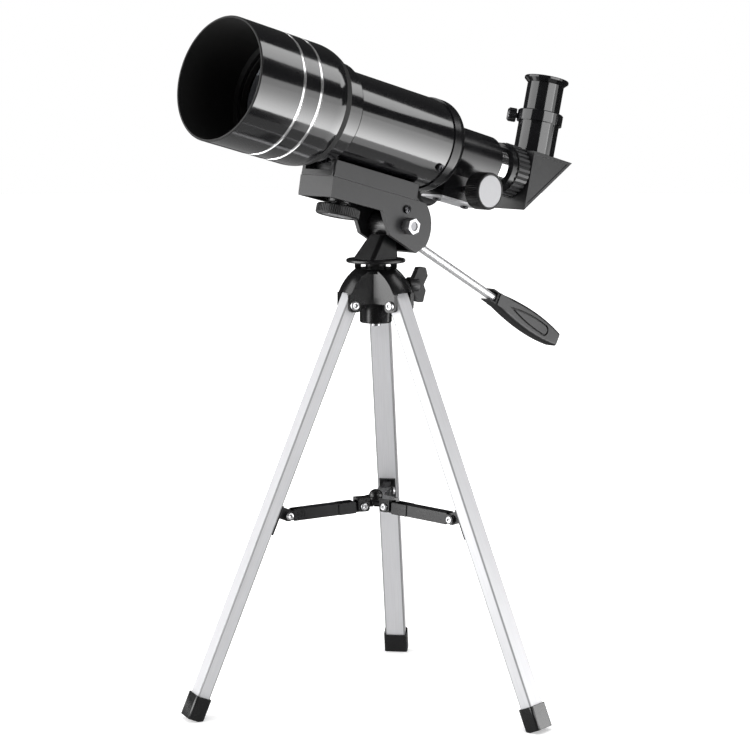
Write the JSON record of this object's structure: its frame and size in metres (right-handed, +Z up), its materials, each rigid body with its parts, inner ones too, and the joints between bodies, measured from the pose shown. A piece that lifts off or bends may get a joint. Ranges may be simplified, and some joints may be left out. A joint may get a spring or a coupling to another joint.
{
  "type": "telescope on tripod",
  "caption": "Short refractor telescope with dew shield, rack focuser, star diagonal and eyepiece on a pan and tilt head with a folding aluminium table tripod.",
  "frame": {"origin": "the point on the ground under the pan axis, midway between the three feet", "axes": "+Z up; the objective looks toward -Y, tilted up 14.2 degrees; the tilt nut is on the +X side"},
  "size_m": [0.236, 0.3315, 0.4696],
  "materials": {
    "tube_black": "gloss",
    "gloss_black": "gloss",
    "dark_grey": "satin",
    "satin_black": "satin",
    "foot_rubber": "matte",
    "chrome": "polished",
    "steel": "satin",
    "dark_screw": "satin",
    "leg_silver": "anodised",
    "plate_silver": "satin",
    "glass": "polished",
    "brass": "turned"
  },
  "bodies": {
    "crown": {"tripod_crown": "satin_black", "centre_sleeve": "gloss_black", "leg_pins": "steel"},
    "pan": {"pan_base": "satin_black", "spindle_screw": "steel"},
    "tube": {"dew_shield": "tube_black", "objective_cell": "tube_black", "lens_retaining_ring": "gloss_black", "crown_lens": "glass", "flint_lens": "glass", "main_tube": "tube_black", "focuser_housing": "gloss_black", "pinion_cover": "plate_silver", "small_screws": "dark_screw", "mounting_shoe": "dark_grey", "threaded_insert": "brass", "tilt_platform": "dark_grey", "tilt_bolt": "chrome", "tilt_nut": "chrome"},
    "clamp_wheel": {"clamp_wheel": "satin_black", "clamp_screw": "steel"},
    "handle": {"handle_rod": "chrome", "handle_grip": "dark_grey"},
    "drawtube": {"drawtube": "chrome", "focus_rack": "satin_black", "drawtube_collar": "gloss_black"},
    "pinion": {"pinion": "steel", "focus_knob_left": "satin_black", "focus_knob_right": "satin_black", "knob_discs": "plate_silver"},
    "clamp_ring": {"clamp_ring": "gloss_black"},
    "diagonal": {"diagonal_housing": "dark_grey", "diagonal_prism": "glass", "diagonal_nose": "chrome", "eyepiece_holder": "gloss_black"},
    "thumbscrew": {"holder_thumbscrew": "satin_black"},
    "eyepiece": {"eyepiece_body": "gloss_black", "eyepiece_barrel": "chrome", "eyecup": "gloss_black", "eye_lens": "glass", "field_lens": "glass"},
    "pan_lock": {"wing_knob": "satin_black", "lock_screw": "steel"},
    "hub": {"spreader_hub": "satin_black", "hub_pins": "steel"},
    "leg_1": {"leg_1": "leg_silver", "foot_1": "foot_rubber", "leg_bracket_1": "satin_black"},
    "arm_1": {"spreader_arm_1": "satin_black"},
    "tongue_1": {"arm_tongue_1": "satin_black"},
    "leg_2": {"leg_2": "leg_silver", "foot_2": "foot_rubber", "leg_bracket_2": "satin_black"},
    "arm_2": {"spreader_arm_2": "satin_black"},
    "tongue_2": {"arm_tongue_2": "satin_black"},
    "leg_3": {"leg_3": "leg_silver", "foot_3": "foot_rubber", "leg_bracket_3": "satin_black"},
    "arm_3": {"spreader_arm_3": "satin_black"},
    "tongue_3": {"arm_tongue_3": "satin_black"}
  },
  "joints": [
    {"name": "pan_turn", "type": "hinge", "parent": "crown", "child": "pan", "pos_m": [0, 0, 0.3], "axis": [0, 0, 1], "continuous": true},
    {"name": "tube_tilt", "type": "hinge", "parent": "pan", "child": "tube", "pos_m": [0, 0.0139, 0.32968], "axis": [-1, 0, 0], "range_deg": [-30, 22]},
    {"name": "clamp_wheel_turn", "type": "hinge", "parent": "tube", "child": "clamp_wheel", "pos_m": [0, -0.03459, 0.34226], "axis": [0, 0.2453, 0.9694], "continuous": true},
    {"name": "handle_twist", "type": "hinge", "parent": "tube", "child": "handle", "pos_m": [0, 0.03339, 0.31743], "axis": [0, 0.8755, -0.4833], "range_deg": [0, 360]},
    {"name": "focus_slide", "type": "slide", "parent": "tube", "child": "drawtube", "axis": [0, 0.9694, -0.2453], "range_m": [-0.01, 0.035]},
    {"name": "focus_turn", "type": "hinge", "parent": "tube", "child": "pinion", "pos_m": [0, 0.07402, 0.3516], "axis": [-1, 0, 0], "range_deg": [-95.6, 334.4]},
    {"name": "clamp_ring_turn", "type": "hinge", "parent": "drawtube", "child": "clamp_ring", "pos_m": [0, 0.127, 0.36326], "axis": [0, -0.9694, 0.2453], "range_deg": [0, 90]},
    {"name": "diagonal_turn", "type": "hinge", "parent": "drawtube", "child": "diagonal", "pos_m": [0, 0.12603, 0.36351], "axis": [0, -0.9694, 0.2453], "continuous": true},
    {"name": "thumbscrew_turn", "type": "hinge", "parent": "diagonal", "child": "thumbscrew", "pos_m": [-0.01228, 0.14928, 0.40146], "axis": [-0.682, -0.709, 0.1794], "range_deg": [0, 360]},
    {"name": "eyepiece_pull", "type": "slide", "parent": "diagonal", "child": "eyepiece", "axis": [0, 0.2453, 0.9694], "range_m": [0, 0.017]},
    {"name": "lock_turn", "type": "hinge", "parent": "crown", "child": "pan_lock", "pos_m": [0.00849, 0.02351, 0.2884], "axis": [0.3396, 0.9406, 0], "range_deg": [0, 360]},
    {"name": "leg_fold_1", "type": "hinge", "parent": "crown", "child": "leg_1", "pos_m": [-0.00689, -0.01909, 0.277], "axis": [0.9406, -0.3396, 0], "range_deg": [0, 18]},
    {"name": "leg_fold_2", "type": "hinge", "parent": "crown", "child": "leg_2", "pos_m": [0.01998, 0.00358, 0.277], "axis": [-0.1762, 0.9843, 0], "range_deg": [0, 18]},
    {"name": "leg_fold_3", "type": "hinge", "parent": "crown", "child": "leg_3", "pos_m": [-0.01309, 0.01552, 0.277], "axis": [-0.7644, -0.6448, 0], "range_deg": [0, 18]},
    {"name": "hub_rise", "type": "slide", "parent": "crown", "child": "hub", "axis": [0, 0, 1], "range_m": [0, 0.0436]},
    {"name": "arm_fold_1", "type": "hinge", "parent": "leg_1", "child": "arm_1", "pos_m": [-0.02224, -0.06161, 0.135], "axis": [0.9406, -0.3396, 0], "range_deg": [0, 62]},
    {"name": "tongue_fold_1", "type": "hinge", "parent": "hub", "child": "tongue_1", "pos_m": [-0.00374, -0.01035, 0.1375], "axis": [0.9406, -0.3396, 0], "range_deg": [0, 80]},
    {"name": "arm_fold_2", "type": "hinge", "parent": "leg_2", "child": "arm_2", "pos_m": [0.06447, 0.01154, 0.135], "axis": [-0.1762, 0.9843, 0], "range_deg": [0, 62]},
    {"name": "tongue_fold_2", "type": "hinge", "parent": "hub", "child": "tongue_2", "pos_m": [0.01083, 0.00194, 0.1375], "axis": [-0.1762, 0.9843, 0], "range_deg": [0, 80]},
    {"name": "arm_fold_3", "type": "hinge", "parent": "leg_3", "child": "arm_3", "pos_m": [-0.04223, 0.05007, 0.135], "axis": [-0.7644, -0.6448, 0], "range_deg": [0, 62]},
    {"name": "tongue_fold_3", "type": "hinge", "parent": "hub", "child": "tongue_3", "pos_m": [-0.00709, 0.00841, 0.1375], "axis": [-0.7644, -0.6448, 0], "range_deg": [0, 80]}
  ],
  "couplings": [
    {"joint": "focus_turn", "follows": "focus_slide", "rad_per_m": 166.67},
    {"joint": "leg_fold_2", "follows": "leg_fold_1", "ratio": 1},
    {"joint": "leg_fold_3", "follows": "leg_fold_1", "ratio": 1},
    {"joint": "hub_rise", "follows": "leg_fold_1", "m_per_rad": 0.13846},
    {"joint": "arm_fold_1", "follows": "leg_fold_1", "ratio": 3.4372},
    {"joint": "tongue_fold_1", "follows": "leg_fold_1", "ratio": 4.4372},
    {"joint": "arm_fold_2", "follows": "leg_fold_1", "ratio": 3.4372},
    {"joint": "tongue_fold_2", "follows": "leg_fold_1", "ratio": 4.4372},
    {"joint": "arm_fold_3", "follows": "leg_fold_1", "ratio": 3.4372},
    {"joint": "tongue_fold_3", "follows": "leg_fold_1", "ratio": 4.4372}
  ]
}
